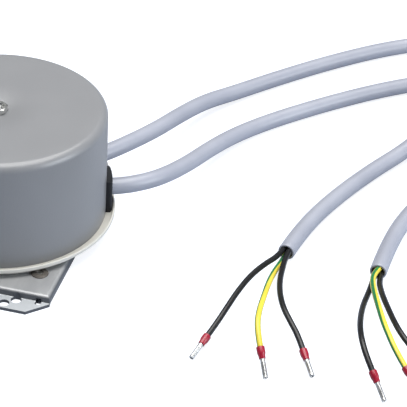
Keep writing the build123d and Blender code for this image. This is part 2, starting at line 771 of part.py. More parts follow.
# ---------------------------------------------------------------- pieces and files
def screws(head_bottom, head_height, reach, head_up):
    """One screw at each of the base's posts."""
    return [screw(place, head_bottom, head_height, reach, head_up) for place in posts]


def pieces():
    """Every node of the motor by name: one solid, or a list for a group of equal solids."""
    terminal = terminal_block()
    nodes = {
        "mounting_bracket": mounting_bracket(),
        "bearing_plate": bearing_plate(),
        "bracket_rivets": [bracket_rivet(place) for place in rivets],
        "base_screws": screws(screw_head_lift, base_screw_head, base_screw_tip - under_plate, False),
        "gear_base": gear_base(),
        "output_bush": output_bush(),
        "output_hub": output_hub(),
        "output_circlip": output_circlip(),
        "output_gear": output_gear(),
        "second_pinion": second_pinion(),
        "second_wheel": idler_wheel(slow_module, middle_bottom, middle_top, axis_b, a_to_b + 180),
        "first_pinion": first_pinion(),
        "first_wheel": idler_wheel(fast_module, fast_bottom, fast_top, axis_a, idler_a_direction + 180),
        "idler_pin_a": idler_pin_a(),
        "idler_pin_b": idler_pin_b(),
        "gear_plate": gear_plate(),
        "lower_bearing": lower_bearing(),
        "motor_pinion": motor_pinion(),
        "rotor_shaft": rotor_shaft(),
        "rotor_hub": rotor_hub(),
        "rotor_magnet": ring(rotor_radius, rotor_hub_radius, rotor_bottom, rotor_top),
        "lower_pole_cup": pole_cup(),
        "lower_pole_plate": pole_plate(),
        "upper_pole_plate": upper(pole_plate()),
        "upper_pole_cup": upper(pole_cup()),
        "lower_bobbin": bobbin(),
        "upper_bobbin": upper(bobbin()),
        "lower_winding": winding(),
        "upper_winding": upper(winding()),
        "upper_bearing": upper_bearing(),
        "end_shield": end_shield(),
        "tie_screws": screws(shield_top, tie_screw_head, shield_top - tie_screw_tip, True),
        "can_stud": rod(stud_radius, stud_bottom, stud_top),
        "can": can(),
        "can_nut": can_nut(),
        "grommets": [grommet(angle) for angle in cable_angles.values()],
        "terminal_block": terminal,
        "terminal_screws": terminal_screws(),
        "inner_cores": inner_cores(terminal),
    }
    for name, points in cable_routes.items():
        nodes[f"cable_{name}"] = cord(f"cable_{name}", points, cable_radius)
    for name, points in core_routes.items():
        nodes[f"core_{name}"] = cord(f"core_{name}", points, core_radius)
        nodes[f"ferrule_{name}"] = ferrule(points)
    return nodes


os.makedirs("parts", exist_ok=True)
for node, shape in pieces().items():
    export_step(Compound(children=shape) if isinstance(shape, list) else shape, f"parts/{node}.step")
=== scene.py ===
"""Looks of a geared motor for a roller shutter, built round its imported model, in metres."""
import math

import bmesh
import bpy
import numpy as np
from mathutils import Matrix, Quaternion, Vector


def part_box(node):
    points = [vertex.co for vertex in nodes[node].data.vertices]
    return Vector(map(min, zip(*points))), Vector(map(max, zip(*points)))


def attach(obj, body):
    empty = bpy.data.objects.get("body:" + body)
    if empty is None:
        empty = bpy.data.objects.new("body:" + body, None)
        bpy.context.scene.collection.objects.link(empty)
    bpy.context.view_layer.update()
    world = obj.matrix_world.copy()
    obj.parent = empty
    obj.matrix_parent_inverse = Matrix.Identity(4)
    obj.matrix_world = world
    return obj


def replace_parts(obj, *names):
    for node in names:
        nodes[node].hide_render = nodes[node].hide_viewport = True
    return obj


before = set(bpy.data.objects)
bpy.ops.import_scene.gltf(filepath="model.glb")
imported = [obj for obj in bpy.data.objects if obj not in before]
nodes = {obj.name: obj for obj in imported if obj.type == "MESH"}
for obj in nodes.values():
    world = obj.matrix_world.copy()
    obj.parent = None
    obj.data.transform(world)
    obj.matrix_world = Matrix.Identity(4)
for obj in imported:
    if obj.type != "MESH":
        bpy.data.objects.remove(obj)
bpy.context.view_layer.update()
MM = 0.001


# ------------------------------------------------------------------ camera
# A long lens looks down on the motor from its front right.  The camera leans a little, as one does
# that was turned from the motor towards the ends of its cables.
CAMERA_PLACE = Vector((0.2460, -0.7019, 0.5137))
CAMERA_AIM = Vector((0.0837, 0.0405, 0.0))
CAMERA_LEAN = math.radians(3.53)
LENS_MM = 179.5

camera_data = bpy.data.cameras.new("camera")
camera_data.lens = LENS_MM
camera_data.sensor_width = 36.0
camera = bpy.data.objects.new("camera", camera_data)
camera.location = CAMERA_PLACE
looking = (CAMERA_AIM - CAMERA_PLACE).to_track_quat("-Z", "Y")
camera.rotation_mode = "QUATERNION"
camera.rotation_quaternion = looking @ Quaternion((0, 0, 1), CAMERA_LEAN)
bpy.context.scene.collection.objects.link(camera)
bpy.context.scene.camera = camera


# ------------------------------------------------------------------ cables
# Two round cables with a soft grey jacket come out of their grommets, sink to the table and lie on
# it in one loop each.  Each jacket is cut square where its three cores come out.
CABLE_DIAMETER = 0.0075
CABLE_ROUTES = {
    "a": [
        (0.0269, 0.03094, 0.0162), (0.03602, 0.04143, 0.0162), (0.045, 0.057, 0.0154),
        (0.0525, 0.075, 0.0133), (0.0582, 0.0955, 0.0102), (0.065, 0.1156, 0.0069),
        (0.0755, 0.1322, 0.0044), (0.091, 0.1524, 0.00375), (0.112, 0.176, 0.00375),
        (0.136, 0.1992, 0.00375), (0.1577, 0.2145, 0.00375), (0.1808, 0.213, 0.0044),
        (0.1985, 0.1972, 0.0104), (0.2025, 0.1743, 0.0176), (0.1896, 0.1514, 0.0176),
        (0.1766, 0.1275, 0.0104), (0.1646, 0.1066, 0.0049), (0.1519, 0.0849, 0.00375),
        (0.1394, 0.056, 0.00375), (0.1312, 0.0293, 0.00375), (0.1284, 0.0099, 0.00375),
    ],
    "b": [
        (0.03853, 0.01402, 0.0162), (0.04933, 0.01796, 0.0162), (0.059, 0.0252, 0.0159),
        (0.0662, 0.035, 0.0148), (0.0725, 0.053, 0.0114), (0.0775, 0.073, 0.0079),
        (0.084, 0.0916, 0.0051), (0.0935, 0.1079, 0.0038), (0.107, 0.1238, 0.00375),
        (0.125, 0.1426, 0.00375), (0.144, 0.1602, 0.00375), (0.163, 0.1745, 0.00375),
        (0.1838, 0.1752, 0.00375), (0.2009, 0.1632, 0.00375), (0.2066, 0.1433, 0.00375),
        (0.1976, 0.1164, 0.00375), (0.1854, 0.0879, 0.00375), (0.1748, 0.0568, 0.00375),
        (0.1702, 0.032, 0.00375), (0.1694, 0.0082, 0.00375),
    ],
}
JACKET_LIGHT, JACKET_DARK = (0.35, 0.365, 0.425), (0.315, 0.33, 0.39)
JACKET_WALL = 0.0009
JACKET_MOUTH_DEPTH = 0.0016
JACKET_BEVEL_LENGTH = 0.0004
JACKET_RING_STEP = 0.0022
JACKET_SIDES = 28
HEADING_REACH = 0.0008


def new_group(name, inputs, outputs):
    """An empty shader node group with these named sockets, its input node and its output node."""
    group = bpy.data.node_groups.new(name, "ShaderNodeTree")
    for label, kind in inputs:
        group.interface.new_socket(label, in_out="INPUT", socket_type=kind)
    for label, kind in outputs:
        group.interface.new_socket(label, in_out="OUTPUT", socket_type=kind)
    return group, group.nodes.new("NodeGroupInput"), group.nodes.new("NodeGroupOutput")


def feed(tree, value, socket):
    """Gives a socket its value, or a link when the value is another node's output."""
    if isinstance(value, bpy.types.NodeSocket):
        tree.links.new(value, socket)
    else:
        socket.default_value = value


def noise_node(tree, place, scale, detail):
    """A noise texture at place; gives its output."""
    noise = tree.nodes.new("ShaderNodeTexNoise")
    feed(tree, place, noise.inputs["Vector"])
    feed(tree, scale, noise.inputs["Scale"])
    noise.inputs["Detail"].default_value = detail
    noise.inputs["Roughness"].default_value = 0.55
    return noise.outputs["Fac"]


def math_node(tree, operation, *values):
    """One sum on these values, in order; gives its output."""
    node = tree.nodes.new("ShaderNodeMath")
    node.operation = operation
    for value, socket in zip(values, node.inputs):
        feed(tree, value, socket)
    return node.outputs["Value"]


def range_node(tree, value, given, wanted=(0.0, 1.0), interpolation="LINEAR"):
    """The value taken from the given range to the wanted one, and held at its ends."""
    node = tree.nodes.new("ShaderNodeMapRange")
    node.interpolation_type = interpolation
    labels = ("Value", "From Min", "From Max", "To Min", "To Max")
    for label, number in zip(labels, (value, *given, *wanted)):
        feed(tree, number, node.inputs[label])
    return node.outputs["Result"]


def mix_node(tree, factor, first, second):
    """The first colour where factor is 0 and the second where it is 1."""
    node = tree.nodes.new("ShaderNodeMix")
    node.data_type = "RGBA"
    for label, value in (("Factor", factor), ("A", first), ("B", second)):
        feed(tree, value, node.inputs[label])
    return node.outputs["Result"]


def split_node(tree, vector):
    """The X, Y and Z outputs of a vector."""
    node = tree.nodes.new("ShaderNodeSeparateXYZ")
    tree.links.new(vector, node.inputs["Vector"])
    return node.outputs


def build_surface_tone():
    """Two tones in soft patches, a roughness that follows them, and a fine grain as height."""
    group, given, made = new_group(
        "surface_tone",
        [("Place", "NodeSocketVector"), ("Light", "NodeSocketColor"), ("Dark", "NodeSocketColor"),
         ("Patches", "NodeSocketFloat"), ("Grain", "NodeSocketFloat"),
         ("Smooth", "NodeSocketFloat"), ("Rough", "NodeSocketFloat")],
        [("Color", "NodeSocketColor"), ("Roughness", "NodeSocketFloat"), ("Height", "NodeSocketFloat")],
    )
    patches = noise_node(group, given.outputs["Place"], given.outputs["Patches"], 3.0)
    grain = noise_node(group, given.outputs["Place"], given.outputs["Grain"], 2.0)
    spread = range_node(group, patches, (0.3, 0.7), interpolation="SMOOTHSTEP")
    color = mix_node(group, spread, given.outputs["Dark"], given.outputs["Light"])
    both = math_node(group, "MULTIPLY_ADD", grain, 0.5, patches)
    roughness = range_node(group, both, (0.4, 1.1), (given.outputs["Smooth"], given.outputs["Rough"]))
    group.links.new(color, made.inputs["Color"])
    group.links.new(roughness, made.inputs["Roughness"])
    group.links.new(grain, made.inputs["Height"])
    return group


surface_tone = build_surface_tone()


def plain_material(name, light, dark, patches=60.0, grain=900.0, smooth=0.3, rough=0.45,
                   bump=0.00002, stretch=(1, 1, 1), metallic=0.0, **sockets):
    """A material of two near tones; patches and grain count per metre, bump is in metres."""
    material = bpy.data.materials.new(name)
    material.use_nodes = True
    tree = material.node_tree
    shader = tree.nodes["Principled BSDF"]
    place = tree.nodes.new("ShaderNodeTexCoord")
    mapping = tree.nodes.new("ShaderNodeMapping")
    mapping.inputs["Scale"].default_value = stretch
    tree.links.new(place.outputs["Object"], mapping.inputs["Vector"])
    tone = tree.nodes.new("ShaderNodeGroup")
    tone.name = "tone"
    tone.node_tree = surface_tone
    tree.links.new(mapping.outputs["Vector"], tone.inputs["Place"])
    tone.inputs["Light"].default_value = (*light, 1)
    tone.inputs["Dark"].default_value = (*dark, 1)
    tone.inputs["Patches"].default_value = patches
    tone.inputs["Grain"].default_value = grain
    tone.inputs["Smooth"].default_value = smooth
    tone.inputs["Rough"].default_value = rough
    relief = tree.nodes.new("ShaderNodeBump")
    relief.name = "relief"
    relief.inputs["Distance"].default_value = bump
    tree.links.new(tone.outputs["Color"], shader.inputs["Base Color"])
    tree.links.new(tone.outputs["Roughness"], shader.inputs["Roughness"])
    tree.links.new(tone.outputs["Height"], relief.inputs["Height"])
    tree.links.new(relief.outputs["Normal"], shader.inputs["Normal"])
    shader.inputs["Metallic"].default_value = metallic
    for label, value in sockets.items():
        shader.inputs[label.replace("_", " ")].default_value = value
    return material


def finished_piece(name, mesh, crease, weld):
    """A mesh as a piece of the housing: faces outward, smooth, and sharp past the crease angle."""
    work = bmesh.new()
    work.from_mesh(mesh)
    if weld:
        bmesh.ops.remove_doubles(work, verts=work.verts, dist=1e-6)
        bmesh.ops.dissolve_degenerate(work, edges=work.edges, dist=1e-7)
    bmesh.ops.recalc_face_normals(work, faces=work.faces)
    work.to_mesh(mesh)
    work.free()
    mesh.shade_smooth()
    mesh.set_sharp_from_angle(angle=math.radians(crease))
    piece = bpy.data.objects.new(name, mesh)
    bpy.context.scene.collection.objects.link(piece)
    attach(piece, "housing")
    return piece


def closed_piece(name, grids, materials, crease=40.0, maps=None):
    """One closed mesh from grids of points (rows, columns, 3), joined wherever they meet.

    The cells of a grid become quads.  Grid number i takes material number i when there are
    several, and maps gives a grid's own (u, v) for each of its points.
    """
    points, quads, owners, places = [], [], [], []
    count = 0
    for number, grid in enumerate(grids):
        rows, columns = grid.shape[:2]
        index = count + np.arange(rows * columns).reshape(rows, columns)
        cells = [index[:-1, :-1], index[:-1, 1:], index[1:, 1:], index[1:, :-1]]
        quads.append(np.stack(cells, -1).reshape(-1, 4))
        owners.append(np.full((rows - 1) * (columns - 1), number))
        points.append(grid.reshape(-1, 3))
        if maps:
            places.append(maps[number].reshape(-1, 2))
        count += rows * columns
    points, quads, owners = np.concatenate(points), np.concatenate(quads), np.concatenate(owners)
    mesh = bpy.data.meshes.new(name)
    mesh.from_pydata(points, [], quads.tolist())
    if maps:
        layer = mesh.uv_layers.new(name="along")
        layer.uv.foreach_set("vector", np.concatenate(places)[quads.ravel()].astype(np.float32).ravel())
    for material in materials:
        mesh.materials.append(material)
    if len(materials) > 1:
        mesh.polygons.foreach_set("material_index", owners.astype(np.int32))
    return finished_piece(name, mesh, crease, weld=True)


def route_line(name, route):
    """Points along the smooth NURBS line whose control points are the route, about 1 mm apart."""
    curve = bpy.data.curves.new(name, "CURVE")
    curve.dimensions = "3D"
    curve.resolution_u = 16
    spline = curve.splines.new("NURBS")
    spline.points.add(len(route) - 1)
    for point, place in zip(spline.points, route):
        point.co = (*place, 1)
    spline.order_u = 3
    spline.use_endpoint_u = True
    holder = bpy.data.objects.new(name, curve)
    line = bpy.data.meshes.new_from_object(holder)
    points = np.array([vertex.co for vertex in line.vertices])
    bpy.data.objects.remove(holder)
    bpy.data.meshes.remove(line)
    bpy.data.curves.remove(curve)
    return points


def along_line(line, distance, stations):
    """The line's points at these distances along it."""
    return np.stack([np.interp(stations, distance, line[:, axis]) for axis in range(3)], -1)


def tube_grid(line, stations, radii, sides):
    """Rings round a line: ring k stands at distance stations[k] along it and has radius radii[k].

    Each ring's point is centre + radius * (cos a * side + sin a * over), where side is the level
    direction square to the line and over is square to both.  The map is (distance, turn).
    """
    steps = np.linalg.norm(np.diff(line, axis=0), axis=1)
    distance = np.concatenate([[0], np.cumsum(steps)])
    stations = np.clip(stations, 0, distance[-1])
    centres = along_line(line, distance, stations)
    ahead = along_line(line, distance, stations + HEADING_REACH)
    along = ahead - along_line(line, distance, stations - HEADING_REACH)
    along /= np.linalg.norm(along, axis=1, keepdims=True)
    side = np.cross(along, (0, 0, 1))
    side /= np.linalg.norm(side, axis=1, keepdims=True)
    over = np.cross(side, along)
    turn = np.linspace(0, 2 * math.pi, sides + 1)
    ring = np.cos(turn)[None, :, None] * side[:, None] + np.sin(turn)[None, :, None] * over[:, None]
    grid = centres[:, None] + np.asarray(radii)[:, None, None] * ring
    where = np.stack(np.broadcast_arrays(stations[:, None], turn[None, :] / (2 * math.pi)), -1)
    return grid, where


def line_length(line):
    """The length of a line of points."""
    return float(np.linalg.norm(np.diff(line, axis=0), axis=1).sum())


jacket_vinyl = plain_material(
    "jacket_vinyl", JACKET_LIGHT, JACKET_DARK, patches=45.0, grain=1500.0, smooth=0.32, rough=0.45,
    bump=0.00003, Coat_Weight=0.2, Coat_Roughness=0.25)

for end, route in CABLE_ROUTES.items():
    line = route_line(f"cable_line_{end}", route)
    length = line_length(line)
    radius, inside = CABLE_DIAMETER / 2, CABLE_DIAMETER / 2 - JACKET_WALL
    mouth = np.array([
        (-0.0001, radius - 0.0001), (0, radius - 0.0003), (0, inside + 0.0002), (-0.0002, inside),
        (-JACKET_MOUTH_DEPTH, inside), (-JACKET_MOUTH_DEPTH, 0),
    ])
    sides = np.linspace(0, length - JACKET_BEVEL_LENGTH, int(length / JACKET_RING_STEP))
    stations = np.concatenate([[0], sides, length + mouth[:, 0]])
    radii = np.concatenate([[0], np.full(len(sides), radius), mouth[:, 1]])
    grid, where = tube_grid(line, stations, radii, JACKET_SIDES)
    cable = closed_piece(f"cable_jacket_{end}", [grid], [jacket_vinyl], maps=[where])
    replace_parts(cable, f"cable_{end}")


# ------------------------------------------------------------------ cores and ferrules
# Each cable has a green and yellow core and two black ones, which spread and arch down to the
# table.  Each core ends in a ferrule: a red collar on a tinned copper sleeve, crimped flat-sided.
CORE_DIAMETER = 0.0025
CORE_ROUTES = {
    "a1": [
        (0.12705, 0.0101, 0.005), (0.126, 0.003, 0.0057), (0.1223, -0.0055, 0.0068),
        (0.1186, -0.017, 0.0078), (0.1161, -0.03, 0.0082), (0.1142, -0.042, 0.0074),
        (0.1123, -0.051, 0.0056), (0.1103, -0.0584, 0.004),
    ],
    "a2": [
        (0.1284, 0.0099, 0.0023), (0.1277, 0.0035, 0.0026), (0.1272, -0.008, 0.0058),
        (0.1276, -0.0225, 0.0102), (0.1285, -0.037, 0.013), (0.1291, -0.049, 0.0142),
        (0.1307, -0.0588, 0.0132), (0.1337, -0.0646, 0.0087),
    ],
    "a3": [
        (0.12975, 0.0097, 0.005), (0.1294, 0.0035, 0.0053), (0.1299, -0.004, 0.006),
        (0.131, -0.0155, 0.0074), (0.1334, -0.027, 0.009), (0.137, -0.037, 0.0096),
        (0.1419, -0.0445, 0.0086), (0.1463, -0.0498, 0.0066), (0.1499, -0.056, 0.0046),
    ],
    "b1": [
        (0.16805, 0.0083, 0.003), (0.1683, 0.002, 0.003), (0.1682, -0.007, 0.0036),
        (0.1679, -0.02, 0.006), (0.169, -0.034, 0.01), (0.1708, -0.046, 0.0132),
        (0.1732, -0.055, 0.0142), (0.1764, -0.061, 0.0116), (0.1799, -0.0652, 0.0082),
    ],
    "b2": [
        (0.1694, 0.0082, 0.0053), (0.1684, 0.0025, 0.0064), (0.1689, -0.005, 0.008),
        (0.1716, -0.0155, 0.0099), (0.1753, -0.027, 0.0116), (0.179, -0.0375, 0.0124),
        (0.1829, -0.0456, 0.012), (0.187, -0.0519, 0.0099), (0.192, -0.057, 0.0068),
    ],
    "b3": [
        (0.17075, 0.0081, 0.003), (0.1712, 0.002, 0.0034), (0.1724, -0.004, 0.005),
        (0.1752, -0.014, 0.0076), (0.1794, -0.0255, 0.01), (0.1833, -0.0355, 0.0119),
        (0.187, -0.0425, 0.0123), (0.1913, -0.0471, 0.0111), (0.1971, -0.0509, 0.0074),
    ],
}
CORE_HIDDEN_LENGTH = 0.004
CORE_RINGS, CORE_SIDES = 70, 20
EARTH_TWISTS_PER_METRE = 6.5
EARTH_START = 0.077
EARTH_GREEN = (0.02, 0.19, 0.055, 1)
COLLAR_RADIUS, COLLAR_LENGTH = 0.00175, 0.0052
SLEEVE_RADIUS, SLEEVE_LENGTH = 0.00105, 0.008
SLEEVE_RINGS = 60
CRIMP_START, CRIMP_STOP = COLLAR_LENGTH + 0.0012, COLLAR_LENGTH + SLEEVE_LENGTH - 0.0010
CRIMP_FADE, CRIMP_PITCH = 0.0006, 0.0011
CRIMP_SINK, CRIMP_SQUARE, CRIMP_RIDGE = 0.06, 0.10, 0.006

core_black = plain_material(
    "core_black", (0.012, 0.012, 0.013), (0.008, 0.008, 0.009), patches=80.0, grain=1800.0,
    smooth=0.3, rough=0.42, bump=0.00002)
collar_red = plain_material(
    "collar_red", (0.36, 0.010, 0.034), (0.29, 0.007, 0.026), patches=200.0, grain=2500.0,
    smooth=0.25, rough=0.36, bump=0.00001, Coat_Weight=0.2, Coat_Roughness=0.15)
tinned_copper = plain_material(
    "tinned_copper", (0.72, 0.72, 0.71), (0.60, 0.60, 0.59), patches=500.0, grain=3500.0,
    smooth=0.26, rough=0.4, bump=0.00001, metallic=0.85)


def build_earth_stripes():
    """Green where twice the turn round the core, plus the twist along it, is in its first part."""
    group, given, made = new_group(
        "earth_stripes",
        [("Map", "NodeSocketVector"), ("Start", "NodeSocketFloat"), ("Twist", "NodeSocketFloat")],
        [("Green", "NodeSocketFloat")])
    where = split_node(group, given.outputs["Map"])
    along = math_node(group, "ADD", where["X"], given.outputs["Start"])
    twist = math_node(group, "MULTIPLY", along, given.outputs["Twist"])
    turn = math_node(group, "MULTIPLY_ADD", where["Y"], 2.0, twist)
    part = math_node(group, "PINGPONG", turn, 0.5)
    group.links.new(range_node(group, part, (0.17, 0.20), (1.0, 0.0)), made.inputs["Green"])
    return group


def earth_material():
    """Yellow vinyl with two green stripes that wind slowly round it."""
    material = plain_material(
        "core_earth", (0.76, 0.63, 0.07), (0.70, 0.56, 0.05), patches=80.0, grain=1800.0,
        smooth=0.3, rough=0.42, bump=0.00002)
    tree = material.node_tree
    stripes = tree.nodes.new("ShaderNodeGroup")
    stripes.node_tree = build_earth_stripes()
    stripes.inputs["Start"].default_value = EARTH_START
    stripes.inputs["Twist"].default_value = EARTH_TWISTS_PER_METRE
    where = tree.nodes.new("ShaderNodeUVMap")
    where.uv_map = "along"
    tree.links.new(where.outputs["UV"], stripes.inputs["Map"])
    yellow = tree.nodes["tone"].outputs["Color"]
    paint = mix_node(tree, stripes.outputs["Green"], yellow, EARTH_GREEN)
    tree.links.new(paint, tree.nodes["Principled BSDF"].inputs["Base Color"])
    return material


core_earth = earth_material()


def along_axis(end, before, profile, shape, sides=32):
    """Rings round a straight axis that starts at end and runs away from before.

    profile holds (radius, distance) pairs and shape(turn, distance) scales each ring's radius.
    """
    axis = (end - before) / np.linalg.norm(end - before)
    side = np.cross(axis, (0, 0, 1))
    side /= np.linalg.norm(side)
    over = np.cross(side, axis)
    turn = np.linspace(0, 2 * math.pi, sides + 1)
    radius, distance = profile[:, :1], profile[:, 1:]
    reach = radius * shape(turn[None, :], distance)
    ring = np.cos(turn)[None, :, None] * side + np.sin(turn)[None, :, None] * over
    return end + distance[..., None] * axis + reach[..., None] * ring


def round_shape(turn, distance):
    """A plain circle."""
    return np.ones(np.broadcast_shapes(turn.shape, distance.shape))


def crimp_shape(turn, distance):
    """A square with round corners along the crimped stretch, cut by small ridges across it."""
    begun = np.clip((distance - CRIMP_START) / CRIMP_FADE, 0, 1)
    inside = begun * np.clip((CRIMP_STOP - distance) / CRIMP_FADE, 0, 1)
    square = CRIMP_SQUARE * np.cos(4 * turn)
    ridges = CRIMP_RIDGE * np.sin(distance / CRIMP_PITCH * 2 * math.pi)
    return 1 - inside * (CRIMP_SINK - square - ridges)


def ferrule(name):
    """The collar, flared where the core goes in, and the crimped sleeve with its open end."""
    route = np.array(CORE_ROUTES[name])
    end, before = route[-1], route[-2]
    r, s = COLLAR_RADIUS, SLEEVE_RADIUS
    collar = np.array([
        (0, 0.0008), (CORE_DIAMETER / 2, 0.0008), (r - 0.0003, 0.0002), (r - 0.00015, 0),
        (r - 0.00003, 0.0001), (r, 0.0003), (r, 0.0024), (r - 0.00006, 0.0029), (r - 0.0003, 0.0037),
        (s + 0.00034, 0.0048), (s + 0.0003, 0.0051), (s + 0.0002, COLLAR_LENGTH), (0, COLLAR_LENGTH),
    ])
    tip = COLLAR_LENGTH + SLEEVE_LENGTH
    steps = np.linspace(COLLAR_LENGTH - 0.0002, tip - 0.0001, SLEEVE_RINGS)
    sleeve = np.concatenate([
        [(0, steps[0])], np.stack([np.full(SLEEVE_RINGS, s), steps], -1),
        [(s - 0.00005, tip), (s - 0.0002, tip), (s - 0.00024, tip - 0.0003)],
        [(s * 0.5, tip - 0.0002), (0, tip - 0.00015)],
    ])
    grids = [along_axis(end, before, collar, round_shape), along_axis(end, before, sleeve, crimp_shape)]
    piece = closed_piece(f"ferrule_on_core_{name}", grids, [collar_red, tinned_copper])
    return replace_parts(piece, f"ferrule_{name}")


for name, route in CORE_ROUTES.items():
    line = route_line(f"core_line_{name}", route)
    length = line_length(line)
    direction = line[1] - line[0]
    inner_end = line[0] - direction / np.linalg.norm(direction) * CORE_HIDDEN_LENGTH
    line = np.concatenate([[inner_end], line])
    sides = np.linspace(0, length + CORE_HIDDEN_LENGTH, CORE_RINGS)
    stations = np.concatenate([[0], sides, [sides[-1]]])
    radii = np.concatenate([[0], np.full(CORE_RINGS, CORE_DIAMETER / 2), [0]])
    grid, where = tube_grid(line, stations, radii, CORE_SIDES)
    earth = name.endswith("2")
    core = closed_piece(f"wire_{name}", [grid], [core_earth if earth else core_black],
                        maps=[where])
    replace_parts(core, f"core_{name}")
    ferrule(name)


# ------------------------------------------------------------------ bracket, second sheet and fixings
# The bracket is pressed from zinc-plated steel sheet: a raised plate with a lip at each side and a
# joggled tab at each end.  A second sheet lies under it.  Screws and rivets hold the two together.
# Painted shade: the dark tone of every steep face of the sheet, bent walls and lips as well as its cut
# edges, which are also duller.
PAINTED_STEEP_SHADE = (0.11, 0.116, 0.13, 1)
# Painted light: the bright tone of the level faces low enough to be the tabs, which stand clear of the
# can's shade, and the height below which it is used.
PAINTED_TAB_LIGHT = (0.58, 0.605, 0.63, 1)
PAINTED_LIGHT_BELOW = 1.6 * MM
RIVET_HEAD, RIVET_FOOT, RIVET_SHANK, RIVET_BORE = 3.8 * MM, 3.4 * MM, 2.2 * MM, 1.3 * MM
RIVET_PLUG_DEPTH, RIVET_PLUG_THICK = 0.5 * MM, 0.7 * MM
RIVET_HEAD_ROUND, RIVET_BORE_ROUND, RIVET_FOOT_BEVEL = 0.0005, 0.0004, 0.0003
RIVET_SIDES = 40


def build_sheet_faces():
    """First output: 1 where a face is steep, for painted shade. Second: 1 on level faces lower than
    Height, for painted light.
    """
    group, given, made = new_group(
        "sheet_faces", [("Place", "NodeSocketVector"), ("Height", "NodeSocketFloat")],
        [("Painted_steep_shade", "NodeSocketFloat"), ("Painted_tab_light", "NodeSocketFloat")])
    facing = group.nodes.new("ShaderNodeNewGeometry").outputs["True Normal"]
    level = math_node(group, "ABSOLUTE", split_node(group, facing)["Z"])
    steep = range_node(group, level, (0.55, 0.9), (1.0, 0.0))
    height = split_node(group, given.outputs["Place"])["Z"]
    low = math_node(group, "LESS_THAN", height, given.outputs["Height"])
    group.links.new(steep, made.inputs["Painted_steep_shade"])
    group.links.new(low, made.inputs["Painted_tab_light"])
    return group


def sheet_material():
    """Zinc plate, with painted light on the low tabs and painted shade on all steep faces, the duller
    cut edges among them.
    """
    material = plain_material(
        "zinc_sheet", (0.45, 0.455, 0.46), (0.375, 0.38, 0.39), patches=120.0, grain=1400.0,
        smooth=0.30, rough=0.46, bump=0.00003, stretch=(1, 0.35, 1), metallic=0.3)
    tree = material.node_tree
    faces = tree.nodes.new("ShaderNodeGroup")
    faces.node_tree = build_sheet_faces()
    faces.inputs["Height"].default_value = PAINTED_LIGHT_BELOW
    place = tree.nodes.new("ShaderNodeTexCoord")
    tree.links.new(place.outputs["Object"], faces.inputs["Place"])
    tone = tree.nodes["tone"].outputs["Color"]
    # Painted light on the tabs, then painted shade on the steep faces, over the zinc's own tone.
    for label, color in (("Painted_tab_light", PAINTED_TAB_LIGHT), ("Painted_steep_shade", PAINTED_STEEP_SHADE)):
        tone = mix_node(tree, faces.outputs[label], tone, color)
    tree.links.new(tone, tree.nodes["Principled BSDF"].inputs["Base Color"])
    return material


zinc_sheet = sheet_material()
zinc_screws = plain_material(
    "zinc_screws", (0.70, 0.70, 0.68), (0.55, 0.55, 0.54), patches=300.0, grain=2500.0,
    smooth=0.22, rough=0.4, bump=0.00002, metallic=1.0)
rivet_metal = plain_material(
    "rivet_metal", (0.15, 0.135, 0.12), (0.10, 0.09, 0.08), patches=400.0, grain=2500.0,
    smooth=0.35, rough=0.55, bump=0.00004, metallic=0.5)


def dress(material, *names):
    """Gives CAD nodes this material."""
    for name in names:
        data = nodes[name].data
        data.materials.clear()
        data.materials.append(material)


dress(zinc_sheet, "mounting_bracket", "bearing_plate", "gear_plate", "end_shield")
dress(zinc_screws, "base_screws", "tie_screws")


def arc(centre, radius, first, last, steps):
    """Profile points (radius, height) on a round stretch, by angle in degrees."""
    angle = np.radians(np.linspace(first, last, steps))
    return [(centre[0] + radius * math.cos(a), centre[1] + radius * math.sin(a)) for a in angle]


def turned(profile, at, sides):
    """A profile of (radius, height) turned about the upright axis through at."""
    turn = np.linspace(0, 2 * math.pi, sides + 1)
    profile = np.asarray(profile, float)
    radius, height = profile[:, :1], profile[:, 1:]
    x, y = at[0] + radius * np.cos(turn), at[1] + radius * np.sin(turn)
    return np.stack([x, y, np.broadcast_to(height, x.shape)], -1)


plate_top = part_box("mounting_bracket")[1].z
rivet_low, rivet_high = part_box("bracket_rivets")
rivet_x, rivet_y = rivet_high.x - RIVET_HEAD, rivet_high.y - RIVET_HEAD
sheets_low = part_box("bearing_plate")[0].z


def rivet_profiles():
    """The outline of head, shank and turned-over foot, and that of the plug across its bore."""
    top, foot = rivet_high.z, rivet_low.z
    plug_top, plug_low = top - RIVET_PLUG_DEPTH, top - RIVET_PLUG_DEPTH - RIVET_PLUG_THICK
    bevel, turn_in = RIVET_FOOT_BEVEL, RIVET_BORE_ROUND
    head = arc((RIVET_HEAD - RIVET_HEAD_ROUND, plate_top + 0.0001), RIVET_HEAD_ROUND, -20, 80, 6)
    inner = arc((RIVET_BORE + turn_in, top - turn_in), turn_in, 90, 180, 5)
    sleeve = [(RIVET_SHANK, plate_top), *head, (RIVET_BORE + 3 * turn_in, top), *inner,
              (RIVET_BORE, foot + bevel), (RIVET_BORE + bevel, foot), (RIVET_FOOT - bevel, foot),
              (RIVET_FOOT, foot + bevel), (RIVET_FOOT, sheets_low), (RIVET_SHANK, sheets_low),
              (RIVET_SHANK, plate_top)]
    plug = [(0, plug_top), (RIVET_BORE, plug_top), (RIVET_BORE, plug_low), (0, plug_low)]
    return sleeve, plug


rivet_places = [(x, y) for x in (-rivet_x, rivet_x) for y in (-rivet_y, rivet_y)]
rivets = closed_piece(
    "tubular_rivets",
    [turned(profile, place, RIVET_SIDES) for profile in rivet_profiles() for place in rivet_places],
    [rivet_metal] * 4 + [zinc_screws] * 4)
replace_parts(rivets, "bracket_rivets")


